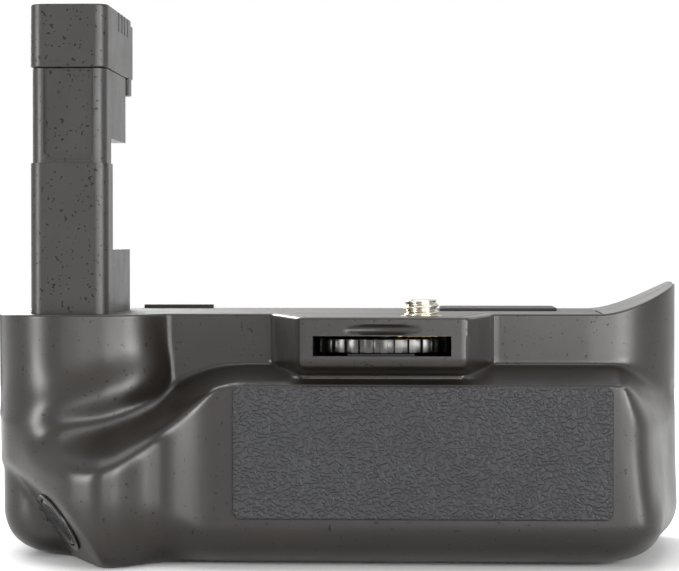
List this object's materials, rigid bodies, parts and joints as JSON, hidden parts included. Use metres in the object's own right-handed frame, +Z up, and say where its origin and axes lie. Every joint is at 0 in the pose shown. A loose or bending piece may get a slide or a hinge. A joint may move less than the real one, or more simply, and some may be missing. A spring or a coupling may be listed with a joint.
{
  "type": "camera battery grip",
  "caption": "Sculpted battery grip that screws under a reflex camera, with a dummy battery tower, thumb wheel and camera screw, release button, rubber pad and a hinged battery door.",
  "frame": {"origin": "centre of the overall footprint, on the plane that the grip stands on", "axes": "+X towards the ear end, away from the dummy battery tower; +Y from the rubber pad towards the battery door; +Z up towards the camera"},
  "size_m": [0.128, 0.0637, 0.1029],
  "materials": {
    "body_plastic": "fine matte spray over moulded plastic",
    "plate_plastic": "satin moulded plastic",
    "tower_plastic": "grained moulded plastic",
    "pad_rubber": "leather-grained rubber",
    "mat_rubber": "matte black rubber",
    "black_plastic": "polished black plastic",
    "liner_plastic": "plain black plastic",
    "screw_metal": "bright nickel plate",
    "steel": "plain steel",
    "brass": "turned brass",
    "gilt": "gold-plated contact",
    "board": "green solder mask",
    "ribbon": "amber flexible circuit"
  },
  "bodies": {
    "grip": {"front_shell": "body_plastic", "rear_shell": "body_plastic", "top_plate": "plate_plastic", "top_mat": "mat_rubber", "gear_cover": "plate_plastic", "grip_pad": "pad_rubber", "tower_sleeve": "tower_plastic", "tower_insert": "tower_plastic", "tower_cap": "tower_plastic", "tower_board": "board", "tower_contacts": "gilt", "tower_ribbon": "ribbon", "tower_screws": "steel", "wheel_axle": "steel", "gear_bracket": "steel", "bracket_screws": "steel", "screw_bush": "brass", "button_bezel": "black_plastic", "button_spring": "steel", "shutter_switch": "liner_plastic", "switch_board": "board", "slide_switch": "steel", "hinge_pin": "steel", "battery_bay": "liner_plastic", "contact_block": "liner_plastic", "battery_contacts": "gilt", "main_board": "board", "board_screws": "steel", "release_jack": "liner_plastic", "tripod_socket": "brass", "case_screws": "steel"},
    "wheel": {"lock_wheel": "steel"},
    "screw": {"camera_screw": "screw_metal", "screw_gear": "brass"},
    "button": {"shutter_button": "black_plastic"},
    "slider": {"lock_slider": "black_plastic"},
    "door": {"battery_door": "body_plastic"},
    "latch": {"latch_knob": "black_plastic", "latch_tongue": "steel", "latch_screw": "steel"}
  },
  "joints": [
    {"name": "wheel_turn", "type": "hinge", "parent": "grip", "child": "wheel", "pos_m": [0.00815, -0.0139, 0.04015], "axis": [0, 0, 1], "continuous": true},
    {"name": "screw_turn", "type": "hinge", "parent": "grip", "child": "screw", "pos_m": [0.0153, -0.02, 0.0445], "axis": [0, 0, 1], "continuous": true},
    {"name": "release_press", "type": "slide", "parent": "grip", "child": "button", "axis": [0.757, 0.3611, 0.5446], "range_m": [0, 0.0012], "stiffness_N_per_m": 700, "springref_m": -0.0012, "deforming": ["button_spring"]},
    {"name": "lock_slide", "type": "slide", "parent": "grip", "child": "slider", "axis": [1, 0, 0], "range_m": [0, 0.003]},
    {"name": "door_swing", "type": "hinge", "parent": "grip", "child": "door", "pos_m": [0.0566, 0.0293, 0.01895], "axis": [0, 0, -1], "range_deg": [0, 105]},
    {"name": "latch_turn", "type": "hinge", "parent": "door", "child": "latch", "pos_m": [0.002, 0.029, 0.01895], "axis": [0, 1, 0], "range_deg": [0, 90]}
  ],
  "couplings": [
    {"joint": "screw_turn", "follows": "wheel_turn", "ratio": -1}
  ]
}
